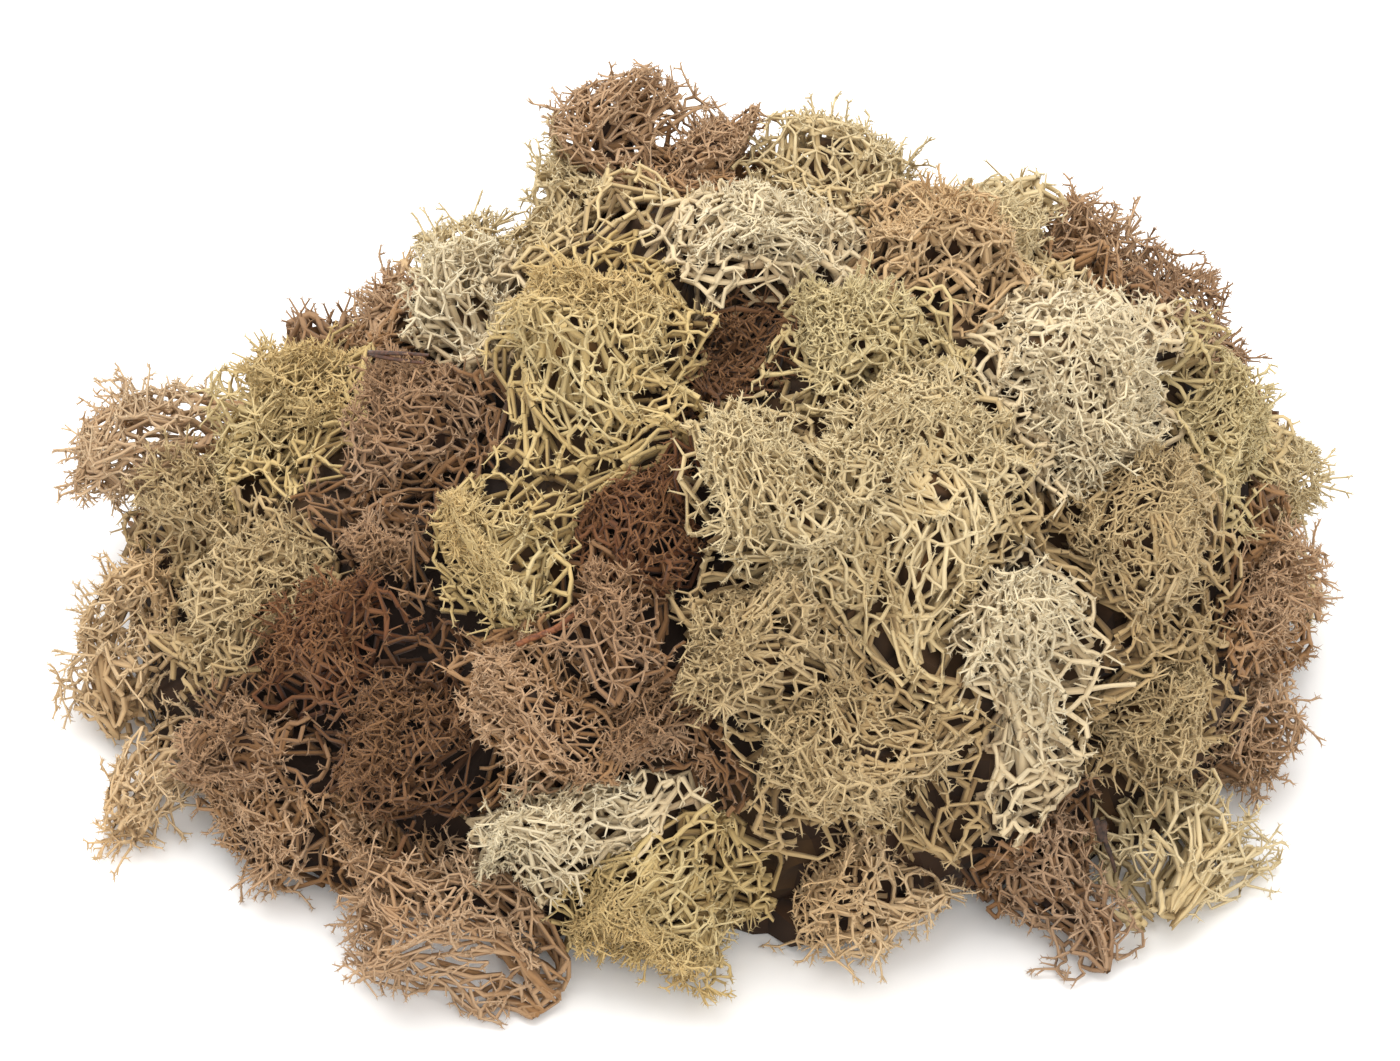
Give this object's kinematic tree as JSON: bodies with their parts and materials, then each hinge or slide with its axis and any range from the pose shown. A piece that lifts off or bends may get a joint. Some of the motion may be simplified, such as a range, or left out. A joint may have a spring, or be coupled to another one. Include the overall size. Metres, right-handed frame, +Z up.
{
  "type": "reindeer moss clump",
  "caption": "Loose dry clump of reindeer moss, a much-branched lichen: cream, gold, taupe and brown tufts that lean on each other, with bits of forest litter.",
  "frame": {"origin": "on the surface that the clump rests on, under the middle of its bounds", "axes": "+X to the right along the clump's longest side as seen from its front, +Y towards its back, +Z up"},
  "size_m": [0.1966, 0.169, 0.0832],
  "materials": {
    "gold_lichen": "matte",
    "cream_lichen": "matte",
    "green_lichen": "matte",
    "pale_lichen": "matte",
    "tan_lichen": "matte",
    "taupe_lichen": "matte",
    "brown_lichen": "matte",
    "rust_lichen": "matte",
    "dark_lichen": "matte",
    "pine_needle": "matte",
    "twig": "matte",
    "bark": "matte"
  },
  "bodies": {
    "root": {"brown_peak": "brown_lichen", "taupe_crest": "taupe_lichen", "cream_crest": "cream_lichen", "pale_saddle": "pale_lichen", "cream_spire": "cream_lichen", "pale_shoulder": "pale_lichen", "brown_shoulder": "brown_lichen", "gold_dome": "gold_lichen", "left_spray": "rust_lichen", "cream_flank": "cream_lichen", "left_stalks": "tan_lichen", "left_corner": "tan_lichen", "taupe_left": "taupe_lichen", "rust_left": "rust_lichen", "brown_net": "brown_lichen", "centre_crown": "gold_lichen", "grey_hollow": "taupe_lichen", "small_gold": "gold_lichen", "rust_heart": "rust_lichen", "dark_hollow": "dark_lichen", "green_crown": "green_lichen", "tan_bridge": "tan_lichen", "front_crown": "cream_lichen", "front_curtain": "cream_lichen", "front_side_spray": "pale_lichen", "weeping_pale": "pale_lichen", "far_cream": "cream_lichen", "brown_crest": "brown_lichen", "taupe_right": "taupe_lichen", "cream_right": "green_lichen", "gold_right": "gold_lichen", "rim_cream": "cream_lichen", "brown_right": "brown_lichen", "brown_right_low": "brown_lichen", "tan_right_low": "green_lichen", "right_low_spray": "cream_lichen", "brown_low_right": "taupe_lichen", "bottom_gold": "gold_lichen", "pale_bottom": "pale_lichen", "bottom_fringe": "tan_lichen", "bottom_spray": "brown_lichen", "tan_tangle": "tan_lichen", "taupe_tangle": "taupe_lichen", "taupe_low_left": "taupe_lichen", "back_left": "taupe_lichen", "back_left_low": "brown_lichen", "back_left_shoulder": "tan_lichen", "back_low": "taupe_lichen", "back_brown": "brown_lichen", "back_pale": "pale_lichen", "back_tan": "tan_lichen", "back_cream": "cream_lichen", "back_taupe": "taupe_lichen", "back_right": "cream_lichen", "back_right_low": "tan_lichen", "back_corner": "brown_lichen", "old_stems": "dark_lichen", "pine_needles": "pine_needle", "rusty_twig": "twig", "bark_flake": "bark"}
  },
  "joints": []
}
